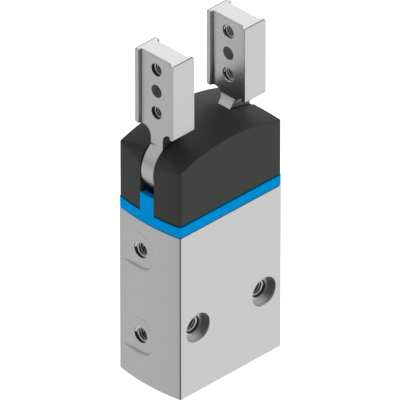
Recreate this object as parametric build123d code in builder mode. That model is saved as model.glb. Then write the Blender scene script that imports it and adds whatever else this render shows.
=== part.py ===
from build123d import *
import os

# Pneumatic radial gripper: a cylinder lifts a crosshead, which swings each jaw open by 90 degrees.
# Millimetres, +Z up, origin at the centre of the housing's bottom face.
# X runs from jaw to jaw, the air ports face -X and the mounting holes face -Y and +Y.
# The jaws stand closed and the piston is at the bottom of its stroke.

# Housing block
end_wall = 7.7                 # from the jaws' pivots to the corners of the rounded ends
body_depth = 24.0
body_height = 53.7
end_bulge = 1.15               # how far each end stands out past its corners
body_edge_chamfer = 0.4

# Mounting holes through the front and back
mount_spacing = 26.0
mount_height = 21.1
mount_drill = 4.2              # core of the M5 thread
sleeve_seat_diameter = 9.0
sleeve_seat_depth = 2.1

# Mounting holes in the bottom
base_spacing = 28.0
base_drill = 3.3               # core of the M4 thread
base_hole_depth = 8.0
base_seat_diameter = 7.0
base_seat_depth = 1.6

# Air ports in the left end
port_y = 3.3
port_drill = 4.2               # core of the M5 thread
port_thread_depth = 4.6
port_chamfer = 0.5
port_passage_diameter = 2.4
port_wall = 0.2                # from a passage to the end of its chamber
port_face_radius = 5.6         # the flat round each port, open towards the back
port_face_depth = 0.55         # below the crown of the rounded end

# Sensor slots in the right end
sensor_slot_diameter = 3.8
sensor_slot_mouth = 2.6
sensor_slot_y = 5.2
sensor_slot_lip = 0.6          # left over the round part of the slot

# Coloured frame between the housing and the cap
trim_inset = 0.12
frame_seam = 0.12              # shadow gap round the rim under the frame
frame_height = 3.9
frame_corner_radius = 0.9
tab_height = 5.4
tab_thickness = 1.5

# Cap
cap_rise = 26.2                # from the top of the block to the crest
cap_arch_radius = 54.0
cap_shoulder_radius = 9.0      # about the pivot, so that the lever's disc lies flush with it
cap_blend_radius = 5.0         # between the shoulder and the arch
cap_wall = 1.6
cap_edge_radius = 1.2
cap_slot_reach = 3.0           # of the jaw slots, inwards from the pivots
latch_length = 12.0
latch_height = 1.2
latch_depth = 0.4
latch_rise = 5.0               # above the cap's lower edge

# Jaws
pivot_spacing = 24.0
pivot_rise = 16.3              # above the block
lever_gap = 0.6                # from the lever discs to the web of the crosshead
lever_thickness = 4.8
lever_flare_radius = 3.2
lever_root_radius = 2.8        # between the neck and the pad
pad_offset = 1.95              # outwards from the pivot
pad_thickness = 8.1
pad_width = 15.0
neck_length = 12.9             # from the pivot to the pad
pad_height = 23.7
flange_width = 1.45            # on both sides of the grooves
channel_depth = 0.95
channel_corner_radius = 0.9
pad_edge_radius = 0.5
flange_end_radius = 0.9
jaw_drill = 3.3                # core of the M4 threads
jaw_dowel_diameter = 4.0
jaw_first_hole = 5.5           # above the pad's lower end
jaw_hole_pitch = 7.0

# Drive between the jaws and the crosshead
drive_radius = 5.2             # from the pivot to the drive pin
drive_pin_diameter = 3.0
drive_slot_play = 0.25         # above and below the drive pin
pivot_pin_diameter = 4.0
bush_wall = 0.75
pin_chamfer = 0.2
crosshead_end_gap = 2.3        # from the crosshead's ends to the pivots
crosshead_plate = 2.0
crosshead_web = 5.2
crosshead_corner_radius = 0.6
lower_arm = 1.4
upper_arm = 0.9
hub_gap = 1.0                  # from the floor of the pocket to the crosshead

# Cylinder and its end cover
cylinder_diameter = 16.0
pocket_rise = 2.85             # from the top of the block to the floor of the crosshead's pocket
cover_diameter = 18.0
cover_share = 0.4445           # of the spare height, the rest is the partition over the cylinder
cover_spigot_height = 2.0
cover_edge_chamfer = 0.5
o_ring_section = 1.5
o_ring_rise = 4.0              # above the cover's lower face
ring_height = 1.0
ring_offset = 0.9              # from the bottom face to the retaining ring
ring_groove_depth = 0.6
ring_width = 1.6
ring_gap = 7.0
ring_ear_diameter = 3.2
ring_ear_hole = 1.2
bumper_diameter = 10.0
bumper_height = 3.0
bumper_stand_out = 1.5

# Piston and rod
piston_height = 16.6
piston_boss_diameter = 10.0
piston_boss_height = 2.0
crown_height = 4.6
rod_diameter = 6.0
rod_spigot_diameter = 4.0
top_spigot_diameter = 3.0
top_spigot_height = 9.0
rod_pin_diameter = 1.5
rod_pin_rise = 3.0             # above the crosshead's lower end
seal_height = 1.8
seal_depth = 1.5
seal_margin = 1.3              # from the piston's ends to the seals
guide_ring_height = 3.0
guide_ring_depth = 0.8
magnet_height = 2.6
magnet_hub_diameter = 9.0
nut_width = 7.0
nut_height = 2.4
nut_recess_diameter = 8.6
rod_seal_diameter = 9.4
rod_seal_height = 2.6
rod_bush_diameter = 8.0
rod_bush_rise = 0.7            # above the rod seal

# Clearances
swing_clearance = 0.2          # jaws and crosshead against flat walls
running_clearance = 0.04       # round running fits, on the radius
piston_clearance = 0.1         # piston in the cylinder, on the radius
assembly_clearance = 0.05      # fixed pieces in their seats
slot_clearance = 0.3           # jaw lever in the slots of the cap
pocket_clearance = 0.3         # crosshead in its pocket

# Heights that stack up from the bottom face
stroke = drive_radius * 2**0.5
piston_length = piston_height + 2 * piston_boss_height
cylinder_length = cover_spigot_height + 2 * (bumper_stand_out + assembly_clearance) + piston_length + stroke
cover_bottom = ring_offset + ring_height
pocket_floor = body_height + pocket_rise
spare_height = pocket_floor - cover_bottom - cylinder_length
cover_height = cover_share * spare_height
partition_height = spare_height - cover_height
cylinder_bottom = cover_bottom + cover_height
spigot_top = cylinder_bottom + cover_spigot_height
piston_bottom = spigot_top + bumper_stand_out + assembly_clearance
skirt_bottom = piston_bottom + piston_boss_height
skirt_top = skirt_bottom + piston_height
crown_bottom = skirt_top - crown_height
piston_top = skirt_top + piston_boss_height
cylinder_top = cylinder_bottom + cylinder_length
hub_bottom = pocket_floor + hub_gap
port_reach = port_wall + port_passage_diameter / 2
port_heights = (spigot_top + port_reach, cylinder_top - port_reach)
frame_bottom = body_height + frame_seam
cap_bottom = frame_bottom + frame_height
bush_diameter = pivot_pin_diameter + 2 * running_clearance + 2 * bush_wall
rod_bush_height = partition_height - (bumper_height - bumper_stand_out) - rod_seal_height - rod_bush_rise
pivot_height = body_height + pivot_rise
cheek_top = pivot_height + bush_diameter
pad_bottom = pivot_height + neck_length
cap_crest_height = body_height + cap_rise

# Places from side to side
pivot_x = pivot_spacing / 2
body_width = pivot_spacing + 2 * end_wall
lever_radius = pivot_x - crosshead_web / 2 - lever_gap
pad_center_x = pivot_x + pad_offset
crosshead_half_width = pivot_x - crosshead_end_gap
cap_slot_inner_x = pivot_x - cap_slot_reach

# Places that the drive sets
drive_x = pivot_x - drive_radius / 2**0.5
drive_height = pivot_height - drive_radius / 2**0.5
drive_slot_half = drive_pin_diameter / 2 + drive_slot_play
drive_slot_end = pivot_x - drive_radius - drive_slot_half
plate_bottom = drive_height - drive_slot_half - lower_arm
plate_top = drive_height + drive_slot_half + upper_arm
disc_slot = lever_thickness + 2 * swing_clearance
crosshead_depth = disc_slot + 2 * crosshead_plate
pocket_depth = crosshead_depth + 2 * pocket_clearance
pocket_width = 2 * (crosshead_half_width + 2 * pocket_clearance)
slot_floor = pivot_height - lever_radius - 2 * swing_clearance

# Plan sizes that follow
crown_x = body_width / 2 + end_bulge
cheek_inset = trim_inset + cap_wall + assembly_clearance
cheek_depth = body_depth - 2 * cheek_inset
jaw_slot = lever_thickness + 2 * slot_clearance
channel_width = pad_width - 2 * flange_width
web_inner = pad_center_x - pad_thickness / 2 + channel_depth
web_outer = pad_center_x + pad_thickness / 2 - channel_depth
root_room = (channel_width - lever_thickness) / 2 - channel_corner_radius - assembly_clearance
root_radius = min(lever_root_radius, root_room)
piston_diameter = cylinder_diameter - 2 * piston_clearance
sliding_diameter = cylinder_diameter - 2 * running_clearance
rod_bore = rod_diameter + 2 * running_clearance

UPWARDS = (Align.CENTER, Align.CENTER, Align.MIN)
FRONT_FACE = Plane(origin=(0, -body_depth / 2, mount_height), x_dir=(1, 0, 0), z_dir=(0, -1, 0))
BACK_FACE = Plane(origin=(0, body_depth / 2, mount_height), x_dir=(-1, 0, 0), z_dir=(0, 1, 0))
BOTTOM_FACE = Plane(origin=(0, 0, 0), x_dir=(1, 0, 0), z_dir=(0, 0, -1))


def plan_outline(inset):
    """The housing's outline from above, drawn in by an even distance."""
    half_width = body_width / 2 - inset
    half_depth = body_depth / 2 - inset
    with BuildSketch() as outline:
        with BuildLine():
            Line((-half_width, -half_depth), (half_width, -half_depth))
            ThreePointArc((half_width, -half_depth), (half_width + end_bulge, 0), (half_width, half_depth))
            Line((half_width, half_depth), (-half_width, half_depth))
            ThreePointArc((-half_width, half_depth), (-half_width - end_bulge, 0),
                          (-half_width, -half_depth))
        make_face()
    return outline.sketch


def front_view(inset):
    """The cap's outline from the front, drawn in evenly: round shoulders under an arched top."""
    crest = cap_crest_height - inset
    arch_radius = cap_arch_radius - inset
    shoulder_radius = cap_shoulder_radius - inset
    with BuildSketch(Plane.XZ) as view:
        with Locations((0, body_height)):
            Rectangle(pivot_spacing, crest - body_height, align=(Align.CENTER, Align.MIN))
            Rectangle(pivot_spacing + 2 * shoulder_radius, pivot_rise, align=(Align.CENTER, Align.MIN))
        with Locations((-pivot_x, pivot_height), (pivot_x, pivot_height)):
            Circle(shoulder_radius)
        with Locations((0, crest - arch_radius)):
            Circle(arch_radius, mode=Mode.INTERSECT)
        fillet(view.vertices().group_by(Axis.Z)[-1], cap_blend_radius - inset)
    return view.sketch


def make_cap_form(inset):
    """The solid form of the cap, or with an inset the hollow inside it."""
    with BuildPart() as form:
        with BuildSketch(Plane.XY.offset(cap_bottom)):
            add(plan_outline(trim_inset + inset))
        extrude(amount=cap_crest_height - cap_bottom)
        with BuildSketch(Plane.XZ):
            add(front_view(inset))
        extrude(amount=body_depth, both=True, mode=Mode.INTERSECT)
    return form


def make_ring(bottom, height, outer_diameter, inner_diameter):
    """A plain ring, bush or sleeve on the cylinder's axis."""
    with BuildPart() as ring:
        with Locations((0, 0, bottom)):
            Cylinder(outer_diameter / 2, height, align=UPWARDS)
            Cylinder(inner_diameter / 2, height, align=UPWARDS, mode=Mode.SUBTRACT)
    return ring


def make_cross_pin(x, height, diameter, length):
    """A plain pin that runs from front to back, with broken ends."""
    with BuildPart() as pin:
        with BuildSketch(Plane.XZ):
            with Locations((x, height)):
                Circle(diameter / 2)
        extrude(amount=length / 2, both=True)
        chamfer(pin.edges().filter_by(GeomType.CIRCLE), pin_chamfer)
    return pin


def mirrored(piece):
    """The same piece on the left side."""
    with BuildPart() as other:
        mirror(piece.part, about=Plane.YZ)
    return other


# Cheeks: the upper part of the housing, which carries the jaws inside the cap
with BuildPart() as cheeks:
    with BuildSketch(Plane.XY.offset(body_height)):
        add(plan_outline(cheek_inset))
    extrude(amount=cheek_top - body_height)
    with BuildSketch(Plane.XZ):
        add(front_view(cap_wall + swing_clearance))
    extrude(amount=body_depth, both=True, mode=Mode.INTERSECT)
    # Jaw slot, from end to end
    with Locations((0, 0, slot_floor)):
        Box(2 * crown_x, disc_slot, cheek_top - slot_floor, align=UPWARDS, mode=Mode.SUBTRACT)
    # Grooves for the latches of the cap
    with Locations((0, 0, cap_bottom + latch_rise)):
        with GridLocations(0, cheek_depth, 1, 2):
            Box(latch_length + 2 * slot_clearance, 2 * (latch_depth + assembly_clearance),
                latch_height + 2 * assembly_clearance, mode=Mode.SUBTRACT)
    # Pivot pin bores
    with BuildSketch(Plane.XZ):
        with Locations((-pivot_x, pivot_height), (pivot_x, pivot_height)):
            Circle(pivot_pin_diameter / 2 + assembly_clearance / 2)
    extrude(amount=body_depth, both=True, mode=Mode.SUBTRACT)


# Housing: the block with the cylinder in it, in one piece with the cheeks
with BuildPart() as housing:
    with BuildSketch():
        add(plan_outline(0))
    extrude(amount=body_height)
    chamfer(housing.edges().filter_by(Axis.Z), body_edge_chamfer)
    add(cheeks.part)

    # Cylinder, seat of the end cover and groove of the retaining ring
    with Locations((0, 0, cylinder_bottom)):
        Cylinder(cylinder_diameter / 2, cylinder_top - cylinder_bottom, align=UPWARDS, mode=Mode.SUBTRACT)
    Cylinder(cover_diameter / 2, cylinder_bottom, align=UPWARDS, mode=Mode.SUBTRACT)
    with Locations((0, 0, ring_offset)):
        Cylinder(cover_diameter / 2 + ring_groove_depth, ring_height, align=UPWARDS, mode=Mode.SUBTRACT)

    # Seats of the upper bumper, rod seal and rod bush in the partition
    with Locations((0, 0, cylinder_top)):
        Cylinder(bumper_diameter / 2, bumper_height - bumper_stand_out, align=UPWARDS, mode=Mode.SUBTRACT)
    with Locations((0, 0, cylinder_top + bumper_height - bumper_stand_out)):
        Cylinder(rod_seal_diameter / 2, rod_seal_height, align=UPWARDS, mode=Mode.SUBTRACT)
    with Locations((0, 0, pocket_floor - rod_bush_height)):
        Cylinder(rod_bush_diameter / 2, rod_bush_height, align=UPWARDS, mode=Mode.SUBTRACT)
    with Locations((0, 0, cylinder_top)):
        Cylinder(rod_diameter / 2 + slot_clearance, partition_height, align=UPWARDS, mode=Mode.SUBTRACT)

    # Pocket in which the crosshead travels
    with Locations((0, 0, pocket_floor)):
        Box(pocket_width, pocket_depth, cheek_top - pocket_floor, align=UPWARDS, mode=Mode.SUBTRACT)

    # Mounting holes, with a seat for a centring sleeve on each face
    for face in (FRONT_FACE, BACK_FACE):
        with Locations(face):
            with GridLocations(mount_spacing, 0, 2, 1):
                CounterBoreHole(mount_drill / 2, sleeve_seat_diameter / 2, sleeve_seat_depth,
                                depth=body_depth / 2)
    with Locations(BOTTOM_FACE):
        with GridLocations(base_spacing, 0, 2, 1):
            CounterBoreHole(base_drill / 2, base_seat_diameter / 2, base_seat_depth, depth=base_hole_depth)

    # Air ports: flat face, threaded hole with a countersunk mouth, and the passage into its chamber
    for port_height in port_heights:
        face_center = Plane(origin=(-crown_x + port_face_depth, port_y, port_height), x_dir=(0, -1, 0),
                            z_dir=(-1, 0, 0))
        with BuildSketch(face_center):
            Circle(port_face_radius)
            Rectangle(body_depth / 2, 2 * port_face_radius, align=(Align.MAX, Align.CENTER))
        extrude(amount=port_face_depth, mode=Mode.SUBTRACT)
        with Locations(face_center):
            CounterSinkHole(port_drill / 2, port_drill / 2 + port_chamfer, depth=port_thread_depth)
            Hole(port_passage_diameter / 2, depth=crown_x)

    # Sensor slots, open over the whole height
    with BuildSketch():
        for slot_y in (-sensor_slot_y, sensor_slot_y):
            slot_surface = body_width / 2 + end_bulge * (1 - (2 * slot_y / body_depth)**2)
            slot_center = slot_surface - sensor_slot_lip - sensor_slot_diameter / 2
            with Locations((slot_center, slot_y)):
                Circle(sensor_slot_diameter / 2)
                Rectangle(sensor_slot_diameter, sensor_slot_mouth, align=(Align.MIN, Align.CENTER))
    extrude(amount=body_height, mode=Mode.SUBTRACT)


# Coloured frame, clamped between the housing and the cap, with a tab in each jaw slot
with BuildPart() as blue_frame:
    with BuildSketch(Plane.XY.offset(frame_bottom)):
        add(plan_outline(trim_inset))
    extrude(amount=frame_height)
    fillet(blue_frame.edges().filter_by(Axis.Z), frame_corner_radius)
    with BuildSketch(Plane.XY.offset(cap_bottom)):
        add(plan_outline(trim_inset))
        add(plan_outline(trim_inset + tab_thickness), mode=Mode.SUBTRACT)
        Rectangle(2 * crown_x, jaw_slot - 2 * assembly_clearance, mode=Mode.INTERSECT)
    extrude(amount=tab_height)
    # Lip that fills the seam inside the rim, and the opening for the cheeks
    with BuildSketch(Plane.XY.offset(body_height)):
        add(plan_outline(trim_inset + frame_seam))
    extrude(amount=frame_seam)
    with BuildSketch(Plane.XY.offset(body_height)):
        add(plan_outline(cheek_inset - assembly_clearance))
    extrude(amount=frame_seam + frame_height, mode=Mode.SUBTRACT)


# Cap: a moulded shell over the cheeks, open at the bottom and at both jaw slots
cap_hollow = make_cap_form(cap_wall)
with BuildPart() as cover_cap:
    add(make_cap_form(0).part)
    rims = cover_cap.faces().filter_by(Plane.XZ).edges().filter_by(GeomType.CIRCLE)
    fillet(rims + cover_cap.edges().filter_by(Axis.Z), cap_edge_radius)
    add(cap_hollow.part, mode=Mode.SUBTRACT)
    for side in (-1, 1):
        with Locations((side * (cap_slot_inner_x + crown_x / 2), 0, cap_bottom)):
            Box(crown_x, jaw_slot, cap_crest_height - cap_bottom, align=UPWARDS, mode=Mode.SUBTRACT)
        with Locations((0, side * (cheek_depth / 2 + assembly_clearance), cap_bottom + latch_rise)):
            Box(latch_length, 2 * latch_depth, latch_height)
    # Room for the lever discs under the inner ends of the slots
    with BuildSketch(Plane.XZ):
        with Locations((-pivot_x, pivot_height), (pivot_x, pivot_height)):
            Circle(lever_radius + 2 * swing_clearance)
    extrude(amount=jaw_slot / 2, both=True, mode=Mode.SUBTRACT)


# Jaw: lever disc, neck and grooved pad in one piece
with BuildPart() as right_jaw:
    with BuildSketch(Plane.XZ) as lever:
        with Locations((pivot_x, pivot_height)):
            Circle(lever_radius)
        with Locations(((web_inner + web_outer) / 2, pivot_height)):
            Rectangle(web_outer - web_inner, pad_bottom - pivot_height, align=(Align.CENTER, Align.MIN))
        corners = lever.vertices().filter_by_position(Axis.Y, pivot_height, pad_bottom - lever_flare_radius)
        fillet(corners.sort_by(Axis.X)[0], lever_flare_radius)
    extrude(amount=lever_thickness / 2, both=True)

    # Pad, with a groove down both faces
    with BuildSketch(Plane.XY.offset(pad_bottom)):
        with Locations((pad_center_x, 0)):
            Rectangle(pad_thickness, pad_width)
        for groove_x in (web_inner - channel_depth, web_outer + channel_depth):
            with Locations((groove_x, 0)):
                RectangleRounded(2 * channel_depth, channel_width, channel_corner_radius, mode=Mode.SUBTRACT)
    extrude(amount=pad_height)
    fillet(right_jaw.faces().sort_by(Axis.Z)[-1].outer_wire().edges(), pad_edge_radius)
    pad_ends = right_jaw.edges().filter_by(Axis.X).group_by(Axis.Z)[0]
    fillet(pad_ends.filter_by(lambda edge: abs(edge.center().Y) > channel_width / 2), flange_end_radius)
    with BuildSketch(Plane.YZ.offset(web_inner)):
        with Locations((0, pad_bottom)):
            Rectangle(lever_thickness + 2 * root_radius, root_radius, align=(Align.CENTER, Align.MAX))
        with Locations((0, pad_bottom - root_radius)):
            with GridLocations(lever_thickness + 2 * root_radius, 0, 2, 1):
                Circle(root_radius, mode=Mode.SUBTRACT)
    extrude(amount=web_outer - web_inner)

    # Drive pin and bush bores in the lever, threads and dowel hole in the pad
    with BuildSketch(Plane.XZ):
        with Locations((pivot_x, pivot_height)):
            Circle(bush_diameter / 2 + assembly_clearance / 2)
        with Locations((drive_x, drive_height)):
            Circle(drive_pin_diameter / 2 + assembly_clearance / 2)
    extrude(amount=lever_thickness, both=True, mode=Mode.SUBTRACT)
    with BuildSketch(Plane.YZ):
        with Locations((0, pad_bottom + jaw_first_hole + jaw_hole_pitch)):
            Circle(jaw_dowel_diameter / 2)
            with GridLocations(0, 2 * jaw_hole_pitch, 1, 2):
                Circle(jaw_drill / 2)
    extrude(amount=2 * crown_x, mode=Mode.SUBTRACT)
left_jaw = mirrored(right_jaw)


# Pivot pins in the cheeks, and the bushes on which the jaws turn
right_pivot_pin = make_cross_pin(pivot_x, pivot_height, pivot_pin_diameter, cheek_depth)
left_pivot_pin = mirrored(right_pivot_pin)

with BuildPart() as right_pivot_bush:
    with BuildSketch(Plane.XZ):
        with Locations((pivot_x, pivot_height)):
            Circle(bush_diameter / 2)
            Circle(pivot_pin_diameter / 2 + running_clearance, mode=Mode.SUBTRACT)
    extrude(amount=lever_thickness / 2, both=True)
left_pivot_bush = mirrored(right_pivot_bush)

right_drive_pin = make_cross_pin(drive_x, drive_height, drive_pin_diameter, crosshead_depth - pin_chamfer)
left_drive_pin = mirrored(right_drive_pin)


# Crosshead: two forked plates joined by a web that runs down to the rod
with BuildPart() as crosshead:
    with BuildSketch(Plane.XZ) as plates:
        with Locations((0, plate_bottom)):
            Rectangle(2 * crosshead_half_width, plate_top - plate_bottom, align=(Align.CENTER, Align.MIN))
        fillet(plates.vertices(), crosshead_corner_radius)
        for side in (-1, 1):
            with Locations((side * (drive_slot_end + crosshead_half_width), drive_height)):
                Rectangle(2 * crosshead_half_width, 2 * drive_slot_half, mode=Mode.SUBTRACT)
    extrude(amount=crosshead_depth / 2, both=True)
    with BuildSketch(Plane.XZ):
        Rectangle(3 * crosshead_half_width, 4 * cap_crest_height)
    extrude(amount=disc_slot / 2, both=True, mode=Mode.SUBTRACT)
    with Locations((0, 0, hub_bottom)):
        Box(crosshead_web, crosshead_depth, plate_top - hub_bottom, align=UPWARDS)
        Cylinder((top_spigot_diameter + assembly_clearance) / 2, top_spigot_height + 2 * assembly_clearance,
                 align=UPWARDS, mode=Mode.SUBTRACT)
    with BuildSketch(Plane.XZ):
        with Locations((0, hub_bottom + rod_pin_rise)):
            Circle(rod_pin_diameter / 2)
    extrude(amount=crosshead_depth, both=True, mode=Mode.SUBTRACT)


# Piston rod, with a spigot for the piston below and one for the crosshead above
with BuildPart() as piston_rod:
    with Locations((0, 0, piston_bottom + assembly_clearance)):
        Cylinder(rod_spigot_diameter / 2, piston_top - piston_bottom, align=UPWARDS)
    with Locations((0, 0, piston_top)):
        Cylinder(rod_diameter / 2, hub_bottom - piston_top, align=UPWARDS)
    with Locations((0, 0, hub_bottom)):
        Cylinder(top_spigot_diameter / 2, top_spigot_height, align=UPWARDS)
    with BuildSketch(Plane.XZ):
        with Locations((0, hub_bottom + rod_pin_rise)):
            Circle(rod_pin_diameter / 2)
    extrude(amount=rod_diameter, both=True, mode=Mode.SUBTRACT)
crosshead_pin = make_cross_pin(0, hub_bottom + rod_pin_rise, rod_pin_diameter - assembly_clearance,
                               crosshead_depth - 2 * pin_chamfer)


# Piston: skirt with a hub for the magnet, and the crown that clamps it
lower_seal_height = skirt_bottom + seal_margin
upper_seal_height = skirt_top - seal_margin - seal_height
guide_ring_bottom = (lower_seal_height + seal_height + crown_bottom - magnet_height - guide_ring_height) / 2
groove_floor = piston_diameter - 2 * seal_depth
with BuildPart() as piston:
    with Locations((0, 0, piston_bottom)):
        Cylinder(piston_boss_diameter / 2, piston_boss_height, align=UPWARDS)
    with Locations((0, 0, skirt_bottom)):
        Cylinder(piston_diameter / 2, crown_bottom - magnet_height - skirt_bottom, align=UPWARDS)
        Cylinder(magnet_hub_diameter / 2, crown_bottom - skirt_bottom, align=UPWARDS)
    with Locations((0, 0, lower_seal_height)):
        add(make_ring(0, seal_height, cylinder_diameter, groove_floor).part, mode=Mode.SUBTRACT)
    with Locations((0, 0, guide_ring_bottom)):
        add(make_ring(0, guide_ring_height, cylinder_diameter, piston_diameter - 2 * guide_ring_depth).part,
            mode=Mode.SUBTRACT)
    with Locations((0, 0, piston_bottom)):
        Cylinder(nut_recess_diameter / 2, nut_height + assembly_clearance, align=UPWARDS, mode=Mode.SUBTRACT)
        Cylinder(rod_spigot_diameter / 2 + assembly_clearance, piston_top - piston_bottom, align=UPWARDS,
                 mode=Mode.SUBTRACT)

with BuildPart() as piston_crown:
    with Locations((0, 0, crown_bottom)):
        Cylinder(piston_diameter / 2, crown_height, align=UPWARDS)
        Cylinder(piston_boss_diameter / 2, crown_height + piston_boss_height, align=UPWARDS)
        Cylinder(rod_spigot_diameter / 2 + assembly_clearance, crown_height + piston_boss_height,
                 align=UPWARDS, mode=Mode.SUBTRACT)
    with Locations((0, 0, upper_seal_height)):
        add(make_ring(0, seal_height, cylinder_diameter, groove_floor).part, mode=Mode.SUBTRACT)

seal_inner = groove_floor + assembly_clearance
lower_piston_seal = make_ring(lower_seal_height, seal_height, sliding_diameter, seal_inner)
upper_piston_seal = make_ring(upper_seal_height, seal_height, sliding_diameter, seal_inner)
guide_ring = make_ring(guide_ring_bottom, guide_ring_height, sliding_diameter,
                       piston_diameter - 2 * guide_ring_depth + assembly_clearance)
piston_magnet = make_ring(crown_bottom - magnet_height, magnet_height, piston_diameter,
                          magnet_hub_diameter + 2 * assembly_clearance)

with BuildPart() as piston_nut:
    with BuildSketch(Plane.XY.offset(piston_bottom + assembly_clearance)):
        RegularPolygon(nut_width / 2, 6, major_radius=False)
        Circle(rod_spigot_diameter / 2 + assembly_clearance / 2, mode=Mode.SUBTRACT)
    extrude(amount=nut_height)


# End cover under the cylinder, its seal and its retaining ring
with BuildPart() as end_cover:
    with Locations((0, 0, cover_bottom)):
        Cylinder(cover_diameter / 2 - assembly_clearance, cover_height, align=UPWARDS)
        Cylinder(cylinder_diameter / 2 - assembly_clearance, cover_height + cover_spigot_height,
                 align=UPWARDS)
    chamfer(end_cover.faces().sort_by(Axis.Z)[0].edges(), cover_edge_chamfer)
    with Locations((0, 0, cover_bottom + o_ring_rise)):
        add(make_ring(-o_ring_section / 2 - assembly_clearance, o_ring_section + 2 * assembly_clearance,
                      cover_diameter, cover_diameter - 2 * o_ring_section - 4 * assembly_clearance).part,
            mode=Mode.SUBTRACT)
    with Locations((0, 0, spigot_top - bumper_height + bumper_stand_out)):
        Cylinder(bumper_diameter / 2, bumper_height, align=UPWARDS, mode=Mode.SUBTRACT)

with BuildPart() as cover_o_ring:
    with Locations((0, 0, cover_bottom + o_ring_rise)):
        Torus((cover_diameter - o_ring_section) / 2 - assembly_clearance, o_ring_section / 2)

ring_outer = cover_diameter / 2 + ring_groove_depth - assembly_clearance
ring_inner = ring_outer - ring_width
ear_x = (ring_gap + ring_ear_diameter) / 2
ear_y = -((ring_outer - ring_ear_diameter / 2)**2 - ear_x**2)**0.5
with BuildPart() as retaining_ring:
    with BuildSketch(Plane.XY.offset(ring_offset)):
        Circle(ring_outer)
        Circle(ring_inner, mode=Mode.SUBTRACT)
        for side in (-1, 1):
            with Locations((side * ear_x, ear_y)):
                Circle(ring_ear_diameter / 2)
                Circle(ring_ear_hole / 2, mode=Mode.SUBTRACT)
        with Locations((0, -ring_inner)):
            Rectangle(ring_gap, 3 * ring_ear_diameter, mode=Mode.SUBTRACT)
    extrude(amount=ring_height)


# Bumpers at the ends of the stroke, rod seal and rod bush
with BuildPart() as lower_bumper:
    with Locations((0, 0, spigot_top - bumper_height + bumper_stand_out)):
        Cylinder(bumper_diameter / 2 - assembly_clearance, bumper_height, align=UPWARDS)
    chamfer(lower_bumper.faces().sort_by(Axis.Z)[-1].edges(), cover_edge_chamfer)
upper_bumper = make_ring(cylinder_top - bumper_stand_out, bumper_height,
                         bumper_diameter - 2 * assembly_clearance, rod_diameter + 2 * slot_clearance)
rod_seal = make_ring(cylinder_top + bumper_height - bumper_stand_out, rod_seal_height,
                     rod_seal_diameter - 2 * assembly_clearance, rod_bore)
rod_bush = make_ring(pocket_floor - rod_bush_height, rod_bush_height, rod_bush_diameter - assembly_clearance,
                     rod_bore)


pieces = {
    "housing": housing,
    "blue_frame": blue_frame,
    "cover_cap": cover_cap,
    "left_jaw": left_jaw,
    "right_jaw": right_jaw,
    "left_pivot_pin": left_pivot_pin,
    "right_pivot_pin": right_pivot_pin,
    "left_pivot_bush": left_pivot_bush,
    "right_pivot_bush": right_pivot_bush,
    "left_drive_pin": left_drive_pin,
    "right_drive_pin": right_drive_pin,
    "crosshead": crosshead,
    "crosshead_pin": crosshead_pin,
    "piston_rod": piston_rod,
    "piston": piston,
    "piston_crown": piston_crown,
    "piston_magnet": piston_magnet,
    "lower_piston_seal": lower_piston_seal,
    "upper_piston_seal": upper_piston_seal,
    "guide_ring": guide_ring,
    "piston_nut": piston_nut,
    "end_cover": end_cover,
    "cover_o_ring": cover_o_ring,
    "retaining_ring": retaining_ring,
    "lower_bumper": lower_bumper,
    "upper_bumper": upper_bumper,
    "rod_seal": rod_seal,
    "rod_bush": rod_bush,
}
os.makedirs("parts", exist_ok=True)
for name, piece in pieces.items():
    piece.part.label = name
    export_step(piece.part, f"parts/{name}.step")
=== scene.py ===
import math
import bpy
from mathutils import Matrix, Vector


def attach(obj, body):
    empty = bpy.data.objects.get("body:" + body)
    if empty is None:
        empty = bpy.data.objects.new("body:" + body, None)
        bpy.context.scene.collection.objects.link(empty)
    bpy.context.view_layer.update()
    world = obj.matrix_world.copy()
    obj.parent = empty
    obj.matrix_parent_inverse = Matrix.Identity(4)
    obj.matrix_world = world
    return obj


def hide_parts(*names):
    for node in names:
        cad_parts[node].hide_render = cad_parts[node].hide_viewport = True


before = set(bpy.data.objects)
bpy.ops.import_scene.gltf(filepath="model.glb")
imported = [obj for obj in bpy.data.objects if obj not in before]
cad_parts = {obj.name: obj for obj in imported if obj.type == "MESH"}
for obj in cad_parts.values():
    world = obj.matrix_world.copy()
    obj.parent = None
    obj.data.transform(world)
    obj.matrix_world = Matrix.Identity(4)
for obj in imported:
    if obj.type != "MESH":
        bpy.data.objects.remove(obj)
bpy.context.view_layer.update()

# The pieces are modelled in millimetres and brought to metres when they are done.
# +Z is up, X runs from jaw to jaw, the air ports face -X.
MM = 0.001
MERGE = 0.0005                 # corners closer than this are one corner
WIDE, DEEP = 22.0, 13.0        # beyond both ends, and beyond the front and back

# Housing
HALF_DEPTH = 12.0
CROWN = 20.85                  # from the middle to the crown of the rounded ends
END_RADIUS = 63.18
END_BULGE = 1.15               # from the corners of a rounded end out to its crown
BLOCK_TOP = 53.5
CHEEK_TOP = 75.58
PIVOT_X, PIVOT_Z = 12.0, 70.0
PIVOT_BORE = 2.025
DISC_SLOT_HALF, DISC_SLOT_FLOOR = 2.6, 60.8
POCKET_X, POCKET_Y, POCKET_FLOOR = 10.3, 4.9, 56.55
SENSOR_SLOTS = (-5.2, 5.2)
SLOT_RADIUS, SLOT_MOUTH = 1.9, 1.3
SLOT_DEPTH = 2.5               # from the end face in to the middle of a sensor slot
MOUNT_X, MOUNT_Z = 13.0, 21.1
SEAT_FLOOR = 9.65              # from the middle out to the mounting threads
BASE_X = 14.0
PORTS = (14.9, 43.154)
PORT_Y = 3.3
PORT_FACE = CROWN - 0.75       # the flats round the ports
PORT_FLAT = 5.8                # half their height
# The wall round a flat, from its foot out over its soft lip: steps outwards and up
PORT_LIP = ((0, 0), (0, 0.4), (0.05, 0.53), (0.16, 0.64), (0.33, 0.73), (0.56, 0.79), (0.9, 0.85), (0.9, 2))

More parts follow.
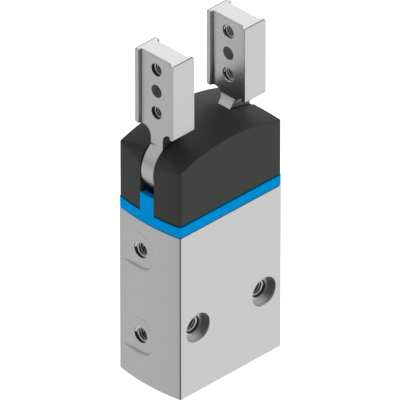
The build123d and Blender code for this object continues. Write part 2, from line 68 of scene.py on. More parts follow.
# Frame and cap
FRAME_BOTTOM = 53.85
TAB_TOP = 63.12
TAB_HALF = 2.65
CAP_BOTTOM = 57.0
CAP_REBATE = 0.5               # height of the shadow line under the cap
CAP_WALL = 1.6
CORNER = 0.9                   # upright corners of the frame and the cap
CREST, ARCH_RADIUS = 79.65, 58.0
SHOULDER_RADIUS = 9.1          # about the pivots
ARCH_CORNER, ARCH_CORNER_X = 3.2, 18.0
CAP_FALL = 1.25                # of the arch, from the middle to the front and back
RIM, RIM_FALL = 0.3, 1.22      # rounding of the arch at the front and back, and the fall where it starts
OVER_CAP = 82.0
SLOT_HALF, SLOT_END = 2.7, 9.0  # half the width of the jaw slots, and where they end inwards
DISC_ROOM = 9.2                # radius of the round room for a lever's disc

# Jaws
DISC_RADIUS = 8.8
LEVER = 2.4                    # half the thickness of the jaw's lever
NECK = (10.85, 17.05)
PAD_BOTTOM, PAD_TOP = 82.7, 106.8
PAD_INNER, PAD_OUTER = 9.85, 18.05
PAD_HALF = 7.55
PAD_FOOT = 0.5                 # rounding of the pad's lower corners
FLARE, FLARE_TOP = 7.41, 81.5  # the hollow side of the neck, and where it runs into the pad
FLARE_CREASE = 20
ROOT = 2.7                     # between the lever and the pad, seen from the side
GROOVE_HALF = 6.05
HOLES = (88.4, 95.4, 102.4)    # threaded, dowel and threaded hole of each pad
HOLE_RADIUS = 2.0
BUSH_BORE = 2.815
DRIVE_X, DRIVE_Z, DRIVE_BORE = 8.323, 66.323, 1.525

# Diameter, core and pitch of the threads
M5_THREAD = (5.0, 4.13, 0.9)
BASE_THREAD = (4.0, 3.3, 0.7)
JAW_THREAD = (4.0, 3.35, 0.8)


# Making shapes

def clear_selection():
    """Leaves edit mode with nothing selected."""
    if bpy.context.object is not None and bpy.context.object.mode != "OBJECT":
        bpy.ops.object.mode_set(mode="OBJECT")
    bpy.ops.object.select_all(action="DESELECT")


def take(piece):
    """Makes this piece the only one that the next tools act on."""
    clear_selection()
    piece.select_set(True)
    bpy.context.view_layer.objects.active = piece


def name_new(name):
    """Names the shape that was just made and applies its transforms."""
    piece = bpy.context.object
    piece.name = name
    piece.data.name = name
    bpy.ops.object.transform_apply(location=True, rotation=True, scale=True)
    return piece


def edit(piece, part="VERT"):
    """Opens this piece for editing with all of it selected, by its corners or its edges."""
    take(piece)
    bpy.context.tool_settings.mesh_select_mode = (part == "VERT", part == "EDGE", False)
    bpy.ops.object.mode_set(mode="EDIT")
    bpy.ops.mesh.select_all(action="SELECT")


def draw_line(name, points):
    """A line through these points, drawn by pulling one corner from point to point."""
    clear_selection()
    bpy.ops.mesh.primitive_plane_add(size=1, location=points[0])
    piece = name_new(name)
    edit(piece)
    bpy.ops.mesh.merge(type="CENTER")
    for here, there in zip(points, points[1:]):
        bpy.ops.mesh.extrude_region_move(TRANSFORM_OT_translate={"value": there - here})
    bpy.ops.mesh.select_all(action="SELECT")
    return piece


def block(name, low, high):
    """A plain block from its lowest to its highest corner."""
    clear_selection()
    middle = [(a + b) / 2 for a, b in zip(low, high)]
    size = [b - a for a, b in zip(low, high)]
    bpy.ops.mesh.primitive_cube_add(size=1, location=middle, scale=size)
    return name_new(name)


def arc(middle, radius, start, stop, steps):
    """Points along an arc, with its angles in degrees."""
    angles = [math.radians(start + (stop - start) * i / steps) for i in range(steps + 1)]
    return [(middle[0] + radius * math.cos(a), middle[1] + radius * math.sin(a)) for a in angles]


def both_sides(half):
    """A whole outline from its right half, which runs from below to above."""
    return half + [(-u, v) for u, v in reversed(half)]


def slab(name, outline, axis, low, high):
    """A slab whose outline lies square to the axis, pulled along it from low to high."""
    pairs = zip(outline, outline[-1:] + outline)
    outline = [spot for spot, last in pairs if math.dist(spot, last) > MERGE]
    outline += outline[:1]
    spots = [{"X": (low, u, v), "Y": (u, low, v), "Z": (u, v, low)}[axis] for u, v in outline]
    piece = draw_line(name, [Vector(spot) for spot in spots])
    bpy.ops.mesh.remove_doubles(threshold=MERGE)
    bpy.ops.mesh.edge_face_add()
    reach = Vector([(high - low) * (axis == letter) for letter in "XYZ"])
    bpy.ops.mesh.extrude_region_move(TRANSFORM_OT_translate={"value": reach})
    bpy.ops.mesh.select_all(action="SELECT")
    bpy.ops.mesh.normals_make_consistent(inside=False)
    bpy.ops.object.mode_set(mode="OBJECT")
    return piece


def turned(name, origin, along, profile, steps=96):
    """A turned shape: (radius, distance along the axis) pairs, spun round the axis."""
    along = Vector(along).normalized()
    across = Vector((0, 0, 1)) if abs(along.z) < 0.5 else Vector((1, 0, 0))
    places = [Vector(origin) + across * radius + along * distance for radius, distance in profile]
    piece = draw_line(name, places)
    bpy.ops.mesh.spin(steps=steps, angle=2 * math.pi, center=origin, axis=along)
    bpy.ops.mesh.select_all(action="SELECT")
    bpy.ops.mesh.remove_doubles(threshold=MERGE)
    bpy.ops.mesh.normals_make_consistent(inside=False)
    bpy.ops.object.mode_set(mode="OBJECT")
    return piece


def bar(name, origin, along, radius, length, steps=96):
    """A plain round bar."""
    return turned(name, origin, along, [(0, 0), (radius, 0), (radius, length), (0, length)], steps)


def apply_step(piece, kind, **settings):
    """Adds one modifier with its settings, and applies it."""
    take(piece)
    step = piece.modifiers.new(kind.lower(), kind)
    for setting, value in settings.items():
        setattr(step, setting, value)
    bpy.ops.object.modifier_apply(modifier=step.name)


def combine(piece, tool, operation):
    """Works a second shape into the piece. It is used up."""
    apply_step(piece, "BOOLEAN", object=tool, operation=operation, solver="EXACT")
    bpy.data.objects.remove(tool)


def carve(piece, *tools):
    for tool in tools:
        combine(piece, tool, "DIFFERENCE")


def fuse(piece, *others):
    for other in others:
        combine(piece, other, "UNION")


def round_off(piece, width, segments, wanted):
    """Rounds the edges whose two ends pass the test."""
    edit(piece, "EDGE")
    bpy.ops.mesh.select_all(action="DESELECT")
    bpy.ops.object.mode_set(mode="OBJECT")
    corners = piece.data.vertices
    for edge in piece.data.edges:
        edge.select = wanted(corners[edge.vertices[0]].co, corners[edge.vertices[1]].co)
    bpy.ops.object.mode_set(mode="EDIT")
    bpy.ops.mesh.bevel(offset=width, offset_type="OFFSET", segments=segments, affect="EDGES",
                       clamp_overlap=False)
    bpy.ops.object.mode_set(mode="OBJECT")


def near(value, *places):
    """Whether the value is at one of these places."""
    return any(abs(value - place) < 0.01 for place in places)


def upright(a, b):
    """Whether the edge between these two corners stands upright."""
    return near(a.x, b.x) and near(a.y, b.y)


def mirrored(piece, name):
    """The same piece on the left side."""
    take(piece)
    bpy.ops.object.duplicate()
    other = bpy.context.object
    other.name = name
    other.data.name = name
    edit(other)
    bpy.ops.transform.resize(value=(-1, 1, 1), center_override=(0, 0, 0))
    bpy.ops.mesh.normals_make_consistent(inside=False)
    bpy.ops.object.mode_set(mode="OBJECT")
    return other


def place(piece, material, body, slot, nodes=(), crease=35):
    """Brings a finished piece to metres and gives it its shading, material and body."""
    edit(piece)
    bpy.ops.mesh.remove_doubles(threshold=MERGE)
    bpy.ops.object.mode_set(mode="OBJECT")
    piece.scale = (MM, MM, MM)
    bpy.ops.object.transform_apply(location=True, rotation=True, scale=True)
    bpy.ops.object.shade_smooth_by_angle(angle=math.radians(crease))
    apply_step(piece, "WEIGHTED_NORMAL", keep_sharp=True, weight=100)
    piece.data.materials.clear()
    piece.data.materials.append(material)
    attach(piece, body)
    if nodes:
        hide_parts(*nodes)


def line_bores(piece, material, axis, centres, radius):
    """Gives the walls of round holes a second material, which paints the shade inside them. The centres are
    seen along the axis, in mm.
    """
    piece.data.materials.append(material)
    edit(piece)
    bpy.ops.mesh.select_mode(type="FACE")
    bpy.ops.mesh.select_all(action="DESELECT")
    bpy.ops.object.mode_set(mode="OBJECT")
    for face in piece.data.polygons:
        spot = [place / MM for i, place in enumerate(face.center) if i != axis]
        inside = any(math.dist(spot, centre) < radius for centre in centres)
        face.select = inside and abs(face.normal[axis]) < 0.9
    bpy.ops.object.mode_set(mode="EDIT")
    piece.active_material_index = len(piece.data.materials) - 1
    bpy.ops.object.material_slot_assign()
    bpy.ops.object.mode_set(mode="OBJECT")


def thread(name, mouth, along, size, length):
    """The ridge of an inside thread, wound along the hole with its foot set in the wall."""
    diameter, core, pitch = size
    foot, tip = diameter / 2 + 0.12, core / 2
    half_foot, half_tip = 0.26 * pitch, 0.04 * pitch
    profile = [(foot, -half_foot), (tip, -half_tip), (tip, half_tip), (foot, half_foot)]
    ridge = draw_line(name, [Vector((radius, 0, height)) for radius, height in profile + profile[:1]])
    bpy.ops.mesh.remove_doubles(threshold=MERGE)
    bpy.ops.object.mode_set(mode="OBJECT")
    turns = int((length - pitch) / pitch)
    apply_step(ridge, "SCREW", axis="Z", angle=2 * math.pi, screw_offset=pitch, iterations=turns,
               steps=32, render_steps=32)
    edit(ridge)
    bpy.ops.mesh.remove_doubles(threshold=MERGE)
    bpy.ops.mesh.fill_holes(sides=4)
    bpy.ops.mesh.normals_make_consistent(inside=False)
    bpy.ops.object.mode_set(mode="OBJECT")
    start = Vector(mouth) + Vector(along) * half_foot
    turn = Vector(along).to_track_quat("Z", "Y").to_matrix().to_4x4()
    ridge.matrix_world = Matrix.Translation(start) @ turn
    take(ridge)
    bpy.ops.object.transform_apply(location=True, rotation=True, scale=True)
    return ridge


# Looks

class Value:
    """A number that varies over a surface. Plus, minus and times add Math nodes."""

    def __init__(self, paint, socket):
        self.paint = paint
        self.socket = socket

    def maths(self, operation, first, second):
        return self.paint.node("ShaderNodeMath", {"operation": operation}, {0: first, 1: second})

    def __add__(self, other):
        return self.maths("ADD", self, other)

    def __sub__(self, other):
        return self.maths("SUBTRACT", self, other)

    def __rsub__(self, other):
        return self.maths("SUBTRACT", other, self)

    def __mul__(self, other):
        return self.maths("MULTIPLY", self, other)

    __radd__ = __add__
    __rmul__ = __mul__


class Paint:
    """The node tree of a material or of the world."""

    def __init__(self, owner):
        owner.use_nodes = True
        self.tree = owner.node_tree
        self.tree.nodes.clear()

    def node(self, kind, settings={}, inputs={}, output=0):
        """Adds a node: its settings first, then the values or links of its sockets."""
        made = self.tree.nodes.new(kind)
        for setting, value in settings.items():
            setattr(made, setting, value)
        for socket, value in inputs.items():
            if isinstance(value, Value):
                self.tree.links.new(value.socket, made.inputs[socket])
            elif made.inputs[socket].type == "RGBA":
                made.inputs[socket].default_value = (*value, 1)
            else:
                made.inputs[socket].default_value = value
        return Value(self, made.outputs[output]) if made.outputs else made

    def noise(self, place, scale, detail):
        return self.node("ShaderNodeTexNoise", {}, {"Vector": place, "Scale": scale, "Detail": detail})

    def along(self, place, direction):
        """How far a place lies in this direction."""
        return self.node("ShaderNodeVectorMath", {"operation": "DOT_PRODUCT"}, {0: place, 1: direction},
                         output=1)

    def blend(self, amount, first, second):
        """A colour between two colours."""
        return self.node("ShaderNodeMix", {"data_type": "RGBA"}, {0: amount, 6: first, 7: second}, output=2)

    def smooth(self, value, low, high):
        """0 below the first value, 1 above the second, and a soft rise between."""
        return self.node("ShaderNodeMapRange", {"interpolation_type": "SMOOTHSTEP"},
                         {0: value, 1: low, 2: high, 3: 0.0, 4: 1.0})


def surface(name, colour, spread, roughness, rough_spread, grain, height, stretch=(1, 1, 1), **sockets):
    """A finish with a fine grain: grain is its fineness per metre and height its depth in metres."""
    material = bpy.data.materials.new(name)
    paint = Paint(material)
    where = paint.node("ShaderNodeTexCoord", output=3)
    drawn = paint.node("ShaderNodeMapping", {}, {"Vector": where, "Scale": stretch})
    fine = paint.noise(drawn, grain, 2.0)
    cloud = paint.noise(where, 90.0, 3.0)
    low = tuple(c * (1 - spread) for c in colour)
    high = tuple(min(1.0, c * (1 + spread)) for c in colour)
    shade = paint.blend(fine * 0.5 + cloud * 0.5, low, high)
    dull = roughness + (fine - 0.5) * rough_spread + (cloud - 0.5) * (rough_spread * 0.6)
    bump = paint.node("ShaderNodeBump", {}, {"Height": fine, "Strength": 1.0, "Distance": height})
    values = {"Base Color": shade, "Roughness": dull, "Normal": bump, **sockets}
    shader = paint.node("ShaderNodeBsdfPrincipled", {}, values)
    paint.node("ShaderNodeOutputMaterial", {}, {"Surface": shader})
    return material


ANODISED = surface("blasted_anodised", (0.70, 0.705, 0.70), 0.005, 0.34, 0.015, 5200.0, 0.0000003,
                   Metallic=1.0)
STEEL = surface("ground_steel", (0.67, 0.675, 0.67), 0.005, 0.27, 0.015, 2600.0, 0.0000001, (1, 1, 0.08),
                Metallic=1.0)
# Painted shade: a dark grey on the walls of the threaded holes and ports, standing in for the shade inside
# them
PAINTED_BORE_SHADE = surface("shaded_bore", (0.09, 0.09, 0.09), 0.03, 0.45, 0.05, 3000.0, 0.0000008, Metallic=0.9)
# Painted shade, lighter: a mid grey on the wall of each jaw's dowel hole, standing in for the shade inside
# it
PAINTED_DOWEL_SHADE = surface("painted_shade_dowel_bore", (0.30, 0.30, 0.30), 0.02, 0.6, 0.05, 3000.0, 0.0000004, Metallic=0.5)
# Painted highlight: the thread ridges are a bright plain grey, so their crests show as lit lines against the
# shaded walls
PAINTED_THREAD_HIGHLIGHT = surface("painted_highlight_thread", (0.80, 0.80, 0.80), 0.03, 0.40, 0.05, 3000.0, 0.0000008)
CAP_BLACK = surface("moulded_black", (0.037, 0.0385, 0.038), 0.03, 0.42, 0.05, 3200.0, 0.0000030,
                    **{"Specular IOR Level": 0.15})
FRAME_BLUE = surface("moulded_blue", (0.0, 0.28, 0.68), 0.02, 0.40, 0.05, 3200.0, 0.0000030,
                     **{"Specular IOR Level": 0.0})
TURNED = surface("turned_aluminium", (0.60, 0.61, 0.61), 0.03, 0.30, 0.06, 3000.0, 0.0000012, Metallic=1.0)
SPRING = surface("blackened_spring", (0.16, 0.155, 0.15), 0.05, 0.34, 0.08, 2400.0, 0.000002, Metallic=0.9)
PIN = surface("polished_pin", (0.66, 0.66, 0.65), 0.02, 0.16, 0.04, 3000.0, 0.0000006, Metallic=1.0)
BRONZE = surface("sintered_bronze", (0.55, 0.33, 0.14), 0.06, 0.36, 0.08, 4200.0, 0.000003, Metallic=0.95)
RUBBER = surface("black_rubber", (0.018, 0.018, 0.018), 0.06, 0.62, 0.08, 2600.0, 0.000005)
GUIDE = surface("ivory_guide", (0.62, 0.56, 0.44), 0.04, 0.45, 0.05, 2600.0, 0.000003)
MAGNET = surface("sintered_magnet", (0.09, 0.09, 0.095), 0.06, 0.5, 0.08, 3000.0, 0.000004, Metallic=0.6)


# Housing

def outline_block(name, inset, bottom, top, corner=0.0):
    """A block with the housing's outline from above, drawn in by an even distance."""
    half, radius, middle = HALF_DEPTH - inset, END_RADIUS - inset, CROWN - END_RADIUS
    corner_x = middle + math.sqrt((radius - corner)**2 - (half - corner)**2)
    turn = math.degrees(math.asin((half - corner) / (radius - corner)))
    outline = arc((corner_x, corner - half), corner, -90, -turn, 5)
    outline += arc((middle, 0), radius, -turn, turn, 40)
    outline += arc((corner_x, half - corner), corner, turn, 90, 5)
    return slab(name, both_sides(outline), "Z", bottom, top)


def crowned_form(inset):
    """The cap's arched top between its round shoulders, drawn in evenly. It falls to the front and back."""
    bottom, steps = 50.0, 9
    arch, shoulder, depth = ARCH_RADIUS - inset, SHOULDER_RADIUS - inset, HALF_DEPTH + 0.02
    arch_z, corner = CREST - ARCH_RADIUS, ARCH_CORNER - inset
    corner_z = arch_z + math.sqrt((arch - corner)**2 - ARCH_CORNER_X**2)
    meet = math.degrees(math.atan2(corner_z - arch_z, ARCH_CORNER_X))
    outline = [(ARCH_CORNER_X + corner, bottom)] + arc((ARCH_CORNER_X, corner_z), corner, 0, meet, 10)
    outline = both_sides(outline + arc((0, arch_z), arch, meet, 90, 28)[1:])
    falls = [(depth * i / steps, CAP_FALL * (i / steps)**2) for i in range(steps)]
    falls += [(y, RIM_FALL + RIM - z) for y, z in arc((depth - RIM, 0), RIM, 75, 0, 5)]
    falls = [(-y, fall) for y, fall in reversed(falls[1:])] + falls
    first_y, first_fall = falls[0]
    outline += outline[:1]
    form = draw_line("crowned_form", [Vector((x, first_y, z - first_fall)) for x, z in outline])
    bpy.ops.mesh.remove_doubles(threshold=MERGE)
    bpy.ops.mesh.edge_face_add()
    for (here, fall), (there, next_fall) in zip(falls, falls[1:]):
        step = (0, there - here, fall - next_fall)
        bpy.ops.mesh.extrude_region_move(TRANSFORM_OT_translate={"value": step})
    bpy.ops.mesh.select_all(action="SELECT")
    bpy.ops.mesh.normals_make_consistent(inside=False)
    bpy.ops.object.mode_set(mode="OBJECT")
    sides = [(PIVOT_X + shoulder, bottom + 1)] + arc((PIVOT_X, PIVOT_Z), shoulder, 0, 75, 20)
    sides += [(sides[-1][0], OVER_CAP + 8)]
    combine(form, slab("shoulders", both_sides(sides), "Y", -DEEP, DEEP), "INTERSECT")
    return form


def cut_sensor_slots(housing):
    """Two slots in the right end, open over the whole height."""
    for y in SENSOR_SLOTS:
        middle = CROWN - END_BULGE * (y / HALF_DEPTH)**2 - SLOT_DEPTH
        rounded = bar("slot", (middle, y, -1), (0, 0, 1), SLOT_RADIUS, BLOCK_TOP + 2, 64)
        mouth = block("mouth", (middle, y - SLOT_MOUTH, -1), (WIDE, y + SLOT_MOUTH, BLOCK_TOP + 2))
        carve(housing, rounded, mouth)


def add_cheeks(housing):
    """The upper part inside the cap, with the slot in which the lever discs turn."""
    cheeks = outline_block("cheeks", 1.77, BLOCK_TOP - 1, CHEEK_TOP)
    combine(cheeks, crowned_form(1.8), "INTERSECT")
    fuse(housing, cheeks)
    over, half = CHEEK_TOP + 1, DISC_SLOT_HALF
    carve(housing, block("disc_slot", (-WIDE, -half, DISC_SLOT_FLOOR), (WIDE, half, over)))
    carve(housing, block("pocket", (-POCKET_X, -POCKET_Y, POCKET_FLOOR), (POCKET_X, POCKET_Y, over)))
    for x in (-PIVOT_X, PIVOT_X):
        carve(housing, bar("pin_bore", (x, -DEEP, PIVOT_Z), (0, 1, 0), PIVOT_BORE, 2 * DEEP, 48))


def bore_cylinder(housing):
    """The cylinder with its seats, from the end cover's mouth up to the rod."""
    carve(housing, turned("cylinder", (0, 0, 0), (0, 0, 1), [
        (0, -1), (9.4, -1), (9.4, 0), (9.0, 0.4), (9.0, 0.9), (9.6, 0.9), (9.6, 1.9), (9.0, 1.9),
        (9.0, 11.4995), (8.0, 11.4995), (8.0, 44.553), (5.0, 44.553), (5.0, 46.053), (4.7, 46.053),
        (4.7, 48.653), (3.3, 48.653), (3.3, 49.353), (4.0, 49.353), (4.0, 56.6), (0, 56.6)], 128))


def cut_mounting_holes(housing):
    """Threaded holes right through with ringed sleeve seats, and two holes in the bottom."""
    seat = [(4.62, -DEEP), (4.62, -12.1), (4.5, -11.98), (4.5, -11.3), (4.75, -11.2), (4.5, -11.1),
            (4.5, -10.7), (4.75, -10.6), (4.5, -10.5), (4.5, -9.9), (2.75, -9.9), (2.5, -SEAT_FLOOR)]
    seats = [(0, -DEEP)] + seat + [(radius, -y) for radius, y in reversed(seat)] + [(0, DEEP)]
    for x in (-MOUNT_X, MOUNT_X):
        carve(housing, turned("mount", (x, 0, MOUNT_Z), (0, 1, 0), seats))
    for x in (-BASE_X, BASE_X):
        carve(housing, turned("base_mount", (x, 0, 0), (0, 0, 1), [
            (0, -1), (3.6, -1), (3.6, 0), (3.5, 0.1), (3.5, 1.6), (2.2, 1.6), (2.0, 1.8), (2.0, 7.2),
            (0, 8.4)]))


def cut_ports(housing):
    """The air ports, each on its flat face, which is open towards the back."""
    for z in PORTS:
        carve(housing, turned("port", (-PORT_FACE, PORT_Y, z), (1, 0, 0), [
            (0, -3), (2.56, -3), (2.56, 0), (2.5, 0.06), (2.5, 4.6), (1.2, 5.4), (1.2, 13.6), (0, 13.6)]))
        lip = [(PORT_FLAT + out, up) for out, up in PORT_LIP]
        flat = turned("port_flat", (-PORT_FACE, PORT_Y, z), (-1, 0, 0), [(0, 0)] + lip + [(0, 2)])
        fuse(flat, block("port_flat_side", (-WIDE - 1, PORT_Y, z - PORT_FLAT),
                         (-PORT_FACE, DEEP + 1, z + PORT_FLAT)))
        carve(housing, flat)


def make_housing():
    """The aluminium block: cheeks, cylinder, sensor slots, mounting holes and air ports."""
    housing = outline_block("housing_block", -0.1, 0, BLOCK_TOP)
    round_off(housing, 0.45, 3, lambda a, b: upright(a, b) and near(abs(a.y), HALF_DEPTH + 0.1))
    round_off(housing, 0.14, 2, lambda a, b: near(a.z, b.z))
    cut_sensor_slots(housing)
    add_cheeks(housing)
    bore_cylinder(housing)
    cut_mounting_holes(housing)
    cut_ports(housing)
    place(housing, ANODISED, "housing", "housing_metal", ["housing"], crease=12)
    # Painted shade on the walls of the air ports and of the mounting threads
    line_bores(housing, PAINTED_BORE_SHADE, 0, [(PORT_Y, z) for z in PORTS], 2.53)
    line_bores(housing, PAINTED_BORE_SHADE, 1, [(x, MOUNT_Z) for x in (-MOUNT_X, MOUNT_X)], 2.76)


def make_housing_threads():
    """The threads of the mounting holes, the holes in the bottom and the air ports."""
    ridges = []
    for side, sign in (("left", -1), ("right", 1)):
        mouth = (sign * MOUNT_X, -SEAT_FLOOR, MOUNT_Z)
        ridges.append(thread("mount_thread_" + side, mouth, (0, 1, 0), M5_THREAD, 2 * SEAT_FLOOR))
    for side, sign in (("left", -1), ("right", 1)):
        mouth = (sign * BASE_X, 0, 1.75)
        ridges.append(thread("base_thread_" + side, mouth, (0, 0, 1), BASE_THREAD, 5.6))
    for level, z in zip(("low", "high"), PORTS):
        mouth = (0.1 - PORT_FACE, PORT_Y, z)
        ridges.append(thread("port_thread_" + level, mouth, (1, 0, 0), M5_THREAD, 4.9))
    # The ridges' bright grey is a painted highlight on the thread crests
    for ridge in ridges:
        place(ridge, PAINTED_THREAD_HIGHLIGHT, "housing", "housing_metal", crease=50)


def make_frame():
    """The blue frame, with a tab up into each jaw slot."""
    ring = outline_block("blue_band", -0.14, FRAME_BOTTOM, TAB_TOP, CORNER)
    carve(ring, block("front", (-WIDE, -DEEP, CAP_BOTTOM), (WIDE, -TAB_HALF, TAB_TOP + 1)))
    carve(ring, block("back", (-WIDE, TAB_HALF, CAP_BOTTOM), (WIDE, DEEP, TAB_TOP + 1)))
    carve(ring, outline_block("inside", 1.62, CAP_BOTTOM, TAB_TOP + 1))
    fuse(ring, outline_block("lip", 0.9, BLOCK_TOP, BLOCK_TOP + 0.6))
    carve(ring, outline_block("opening", 1.72, BLOCK_TOP - 1, CAP_BOTTOM + 1))
    round_off(ring, 0.25, 2, lambda a, b: near(a.z, TAB_TOP) and near(b.z, TAB_TOP))
    place(ring, FRAME_BLUE, "housing", "frame_plastic", ["blue_frame"])


def make_cap():
    """The black cap, hollow, with a slot and a round room for the lever's disc in each end."""
    cap = outline_block("cap_shell", -0.02, CAP_BOTTOM, OVER_CAP, CORNER)
    combine(cap, crowned_form(0), "INTERSECT")
    hollow = outline_block("hollow", CAP_WALL + 0.12, CAP_BOTTOM - 1, OVER_CAP)
    combine(hollow, crowned_form(CAP_WALL), "INTERSECT")
    carve(cap, hollow)
    rebate = outline_block("rebate", -1.0, CAP_BOTTOM - 1, CAP_BOTTOM + CAP_REBATE)
    carve(rebate, outline_block("foot", 0.45, CAP_BOTTOM - 2, CAP_BOTTOM + 1))
    carve(cap, rebate)
    for x, low, high in ((-PIVOT_X, -WIDE, -SLOT_END), (PIVOT_X, SLOT_END, WIDE)):
        carve(cap, block("jaw_slot", (low, -SLOT_HALF, CAP_BOTTOM - 7), (high, SLOT_HALF, OVER_CAP)))
        carve(cap, bar("disc_room", (x, -SLOT_HALF, PIVOT_Z), (0, 1, 0), DISC_ROOM, 2 * SLOT_HALF))
    place(cap, CAP_BLACK, "housing", "cap_plastic", ["cover_cap"])


# Jaws

def make_right_jaw():
    """Lever disc, neck and grooved pad in one piece: what its front view and its side view share."""
    inner, outer = NECK
    flare_x = inner - FLARE * math.cos(math.radians(FLARE_CREASE))
    flare_z = FLARE_TOP + FLARE * math.sin(math.radians(FLARE_CREASE))
    lean = math.degrees(math.atan2(flare_z - PIVOT_Z, PIVOT_X - flare_x))
    meet = math.degrees(math.acos((outer - PIVOT_X) / DISC_RADIUS))
    front = [(PAD_INNER, PAD_TOP), (PAD_INNER, PAD_BOTTOM), (inner, PAD_BOTTOM)]
    front += arc((flare_x, flare_z), FLARE, -FLARE_CREASE, -lean, 24)
    front += arc((PIVOT_X, PIVOT_Z), DISC_RADIUS, 180 - lean, 360 + meet, 150)[1:]
    front += [(outer, PAD_BOTTOM), (PAD_OUTER, PAD_BOTTOM), (PAD_OUTER, PAD_TOP)]
    side = [(PAD_HALF, PAD_TOP)]
    side += arc((PAD_HALF - PAD_FOOT, PAD_BOTTOM + PAD_FOOT), PAD_FOOT, 0, -90, 5)
    side += arc((LEVER + ROOT, PAD_BOTTOM - ROOT), ROOT, 90, 180, 20) + [(LEVER, 60)]
    jaw = slab("right_jaw_steel", front, "Y", -DEEP, DEEP)
    combine(jaw, slab("side_view", both_sides(side), "X", 0, WIDE), "INTERSECT")
    round_off(jaw, 0.18, 2, lambda a, b: near(abs(a.y), LEVER) and near(a.y, b.y) and max(a.z, b.z) < 80.3)
    # Grooves down both faces of the pad
    for face, floor in ((PAD_INNER - 1, inner), (PAD_OUTER + 1, outer)):
        low, high = sorted((face, floor))
        groove = block("groove", (low, -GROOVE_HALF, 82), (high, GROOVE_HALF, 110))
        round_off(groove, 0.9, 6, lambda a, b: upright(a, b) and near(a.x, floor))
        carve(jaw, groove)
    round_off(jaw, 0.12, 2, lambda a, b: upright(a, b) and near(a.x, PAD_INNER, PAD_OUTER)
              and near(abs(a.y), GROOVE_HALF, PAD_HALF))
    round_off(jaw, 0.45, 4, lambda a, b: near(a.z, PAD_TOP) and near(b.z, PAD_TOP))

    # Bush and drive pin bores, threaded holes and dowel hole
    carve(jaw, bar("bush_bore", (PIVOT_X, -4, PIVOT_Z), (0, 1, 0), BUSH_BORE, 8, 64))
    carve(jaw, bar("pin_bore", (DRIVE_X, -4, DRIVE_Z), (0, 1, 0), DRIVE_BORE, 8, 48))
    through = outer - inner
    for z, rim in zip(HOLES, (2.22, 2.03, 2.22)):
        carve(jaw, turned("hole", (inner, 0, z), (1, 0, 0), [
            (0, -2), (rim, -2), (rim, 0), (HOLE_RADIUS, rim - HOLE_RADIUS), (HOLE_RADIUS, through + 2),
            (0, through + 2)], 72))
    return jaw


def make_jaws():
    """Both jaws, with painted shade on the walls of their holes and their threads in."""
    right = make_right_jaw()
    left = mirrored(right, "left_jaw_steel")
    for side, jaw, sign in (("right", right, 1), ("left", left, -1)):
        place(jaw, STEEL, side + "_jaw", "jaw_steel", [side + "_jaw"])
        # Painted shade on the walls of the threaded holes, and a lighter painted shade in the dowel hole
        line_bores(jaw, PAINTED_BORE_SHADE, 0, [(0, HOLES[0]), (0, HOLES[2])], 2.05)
        line_bores(jaw, PAINTED_DOWEL_SHADE, 0, [(0, HOLES[1])], 2.05)
        # Their ridges carry the painted highlight of the threads
        for level, z in (("low", HOLES[0]), ("high", HOLES[2])):
            mouth = (sign * (NECK[0] + 0.2), 0, z)
            ridge = thread(side + "_jaw_thread_" + level, mouth, (sign, 0, 0), JAW_THREAD, 6.0)
            place(ridge, PAINTED_THREAD_HIGHLIGHT, side + "_jaw", "jaw_steel", crease=50)


def dress_inner_pieces():
    """The pieces inside and underneath are shown as they come from CAD."""
    for material, nodes in (
            (PIN, ("left_pivot_pin", "right_pivot_pin", "left_drive_pin", "right_drive_pin", "crosshead_pin",
                   "piston_rod")),
            (BRONZE, ("left_pivot_bush", "right_pivot_bush", "rod_bush")),
            (STEEL, ("crosshead", "piston_nut")),
            (TURNED, ("end_cover", "piston", "piston_crown")),
            (SPRING, ("retaining_ring",)),
            (RUBBER, ("cover_o_ring", "lower_bumper", "upper_bumper", "rod_seal", "lower_piston_seal",
                      "upper_piston_seal")),
            (GUIDE, ("guide_ring",)),
            (MAGNET, ("piston_magnet",))):
        for node in nodes:
            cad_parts[node].data.materials.clear()
            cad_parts[node].data.materials.append(material)


make_housing()
make_housing_threads()
make_frame()
make_cap()
make_jaws()
dress_inner_pieces()


# Floor, light and camera

# Strength of the light from below the horizon, and from above it with what the shades take off
LOW_DARK, LOW_RIGHT, LOW_LEFT = 0.065, 0.83, 0.55
HIGH_LEFT, HIGH_BACK = 0.57, 0.59
CROWN_SHADE, VIEWER_SHADE, LEVEL_SHADE, RIGHT_SHADE = 0.7, 0.9, 0.3, 0.2
FLOOR_GLOW = 0.85

# The camera's turn and tilt in degrees, its aim in millimetres and its distance in metres
CAMERA_YAW, CAMERA_PITCH = 44.804, 33.496
AIM_RIGHT, AIM_UP = -0.120, 43.657
CAMERA_DISTANCE = 4.032
SENSOR_WIDTH, FOCAL_LENGTH = 36.0, 1296.0


def make_floor():
    """A pale floor that lets the underside be seen from below."""
    clear_selection()
    bpy.ops.mesh.primitive_plane_add(size=8, location=(0, 0, -0.0001))
    floor = name_new("floor")
    material = bpy.data.materials.new("pale_floor")
    paint = Paint(material)
    pale = paint.node("ShaderNodeBsdfPrincipled", {}, {
        "Base Color": (0.9, 0.9, 0.9), "Roughness": 1.0,
        "Emission Color": (1.0, 1.0, 1.0), "Emission Strength": FLOOR_GLOW})
    clear = paint.node("ShaderNodeBsdfTransparent")
    below = paint.node("ShaderNodeNewGeometry", output=6)
    shader = paint.node("ShaderNodeMixShader", {}, {0: below, 1: pale, 2: clear})
    paint.node("ShaderNodeOutputMaterial", {}, {"Surface": shader})
    floor.data.materials.append(material)
    floor.visible_glossy = False


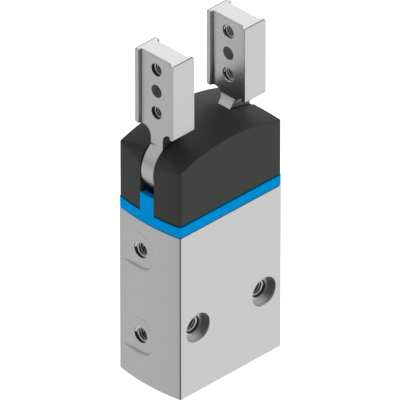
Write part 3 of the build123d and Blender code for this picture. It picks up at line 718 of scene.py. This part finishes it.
def make_world():
    """Soft studio light, brightest at the back and to the right, and dark on the viewer's side."""
    world = bpy.data.worlds.new("studio")
    bpy.context.scene.world = world
    paint = Paint(world)
    where = paint.node("ShaderNodeTexCoord", output=0)
    rise = paint.node("ShaderNodeSeparateXYZ", {}, {0: where}, output=2)
    aside = paint.along(where, (0.7071, -0.7071, 0.0))
    viewer = paint.along(where, (-0.7071, -0.7071, 0.0))
    right, left = paint.smooth(aside, 0.25, 0.8), paint.smooth(aside * -1.0, 0.25, 0.8)
    low = LOW_DARK + right * LOW_RIGHT + left * LOW_LEFT
    high = HIGH_LEFT + paint.smooth(aside, -0.62, -0.30) * HIGH_BACK
    high = high * (1.0 - paint.smooth(rise, 0.84, 0.96) * CROWN_SHADE)
    high = high * (1.0 - paint.smooth(viewer, 0.30, 0.75) * VIEWER_SHADE)
    high = high * (1.0 - paint.smooth(aside, 0.10, 0.45) * RIGHT_SHADE)
    high = high * (1.0 - LEVEL_SHADE + paint.smooth(rise, 0.0, 0.3) * LEVEL_SHADE)
    level = paint.smooth(rise, -0.30, 0.05)
    strength = low * (1.0 - level) + high * level
    shader = paint.node("ShaderNodeBackground", {}, {"Color": (1.0, 1.0, 1.0), "Strength": strength})
    paint.node("ShaderNodeOutputWorld", {}, {"Surface": shader})


def make_camera():
    """The photograph's long lens, from the left front and above."""
    yaw, pitch = math.radians(CAMERA_YAW), math.radians(CAMERA_PITCH)
    right = Vector((math.cos(yaw), -math.sin(yaw), 0))
    back = Vector((-math.sin(yaw) * math.cos(pitch), -math.cos(yaw) * math.cos(pitch), math.sin(pitch)))
    up = back.cross(right)
    aim = (right * AIM_RIGHT + up * AIM_UP) * MM
    eye = back * CAMERA_DISTANCE
    lens = bpy.data.cameras.new("camera")
    lens.sensor_width = SENSOR_WIDTH
    lens.lens = FOCAL_LENGTH
    lens.clip_end = 50.0
    camera = bpy.data.objects.new("camera", lens)
    turn = (eye - aim).to_track_quat("Z", "Y").to_matrix().to_4x4()
    camera.matrix_world = Matrix.Translation(eye) @ turn
    bpy.context.scene.collection.objects.link(camera)
    bpy.context.scene.camera = camera


make_floor()
make_world()
make_camera()
bpy.context.scene.view_settings.view_transform = "Standard"
